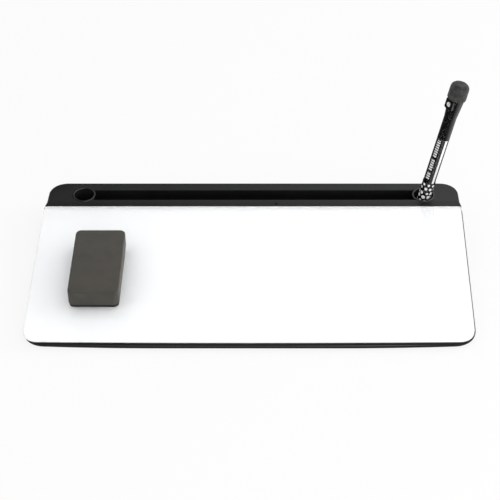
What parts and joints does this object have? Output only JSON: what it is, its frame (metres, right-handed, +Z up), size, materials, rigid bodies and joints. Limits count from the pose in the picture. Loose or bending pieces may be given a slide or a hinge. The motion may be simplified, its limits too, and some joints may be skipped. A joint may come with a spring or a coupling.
{
  "type": "desktop glass whiteboard",
  "caption": "Low sloping glass writing board on a black case, with a slotted rear tray, pen cups, a capped marker and a block eraser.",
  "frame": {"origin": "middle of the footprint on the desk, at the undersides of the rubber feet", "axes": "+X to the right along the board's long side, +Y to the rear where the tray is, +Z up"},
  "size_m": [0.3827, 0.2146, 0.1438],
  "materials": {
    "black_plastic": "moulded satin black",
    "cup_plastic": "smooth black",
    "clear_glass": "polished plate glass",
    "white_coat": "white back coat",
    "sheet_steel": "plain sheet",
    "foam_tape": "white foam tape",
    "screw_steel": "zinc plated",
    "foot_rubber": "matt black rubber",
    "marker_white": "white moulding",
    "marker_black": "black moulding",
    "dotted_black": "black with plain white dots",
    "label_film": "black film, plain pale bars",
    "ink_fibre": "inked fibre rod",
    "nib_fibre": "inked felt nib",
    "liner_plastic": "soft pale plastic",
    "felt_grey": "dark grey felt",
    "magnet_nickel": "nickel plated",
    "foam_grey": "warm dark grey dense foam",
    "felt_dark": "black felt"
  },
  "bodies": {
    "base": {"bottom_cover": "black_plastic", "glass_frame": "black_plastic", "tray_housing": "black_plastic", "pen_cup_left": "cup_plastic", "pen_cup_right": "cup_plastic", "glass_panel": "clear_glass", "white_coat": "white_coat", "steel_sheet": "sheet_steel", "adhesive_strips": "foam_tape", "frame_screws": "screw_steel", "tray_screws": "screw_steel", "foot_front_left": "foot_rubber", "foot_front_middle": "foot_rubber", "foot_front_right": "foot_rubber", "foot_rear_left": "foot_rubber", "foot_rear_middle": "foot_rubber", "foot_rear_right": "foot_rubber"},
    "marker": {"marker_tail": "dotted_black", "marker_barrel": "marker_white", "marker_label": "label_film", "ink_reservoir": "ink_fibre", "nib_holder": "marker_black", "nib": "nib_fibre"},
    "marker_cap": {"marker_cap": "marker_black", "cap_liner": "liner_plastic", "cap_magnet": "magnet_nickel", "cap_eraser": "felt_grey"},
    "board_eraser": {"eraser_block": "foam_grey", "eraser_felt": "felt_dark"}
  },
  "joints": [
    {"name": "marker_lift", "type": "slide", "parent": "base", "child": "marker", "axis": [0.2267, 0, 0.974], "range_m": [0, 0.06]},
    {"name": "cap_pull", "type": "slide", "parent": "marker", "child": "marker_cap", "axis": [0.2267, 0, 0.974], "range_m": [0, 0.04]},
    {"name": "eraser_wipe", "type": "slide", "parent": "base", "child": "board_eraser", "axis": [1, 0, 0], "range_m": [-0.034, 0.2985]}
  ]
}
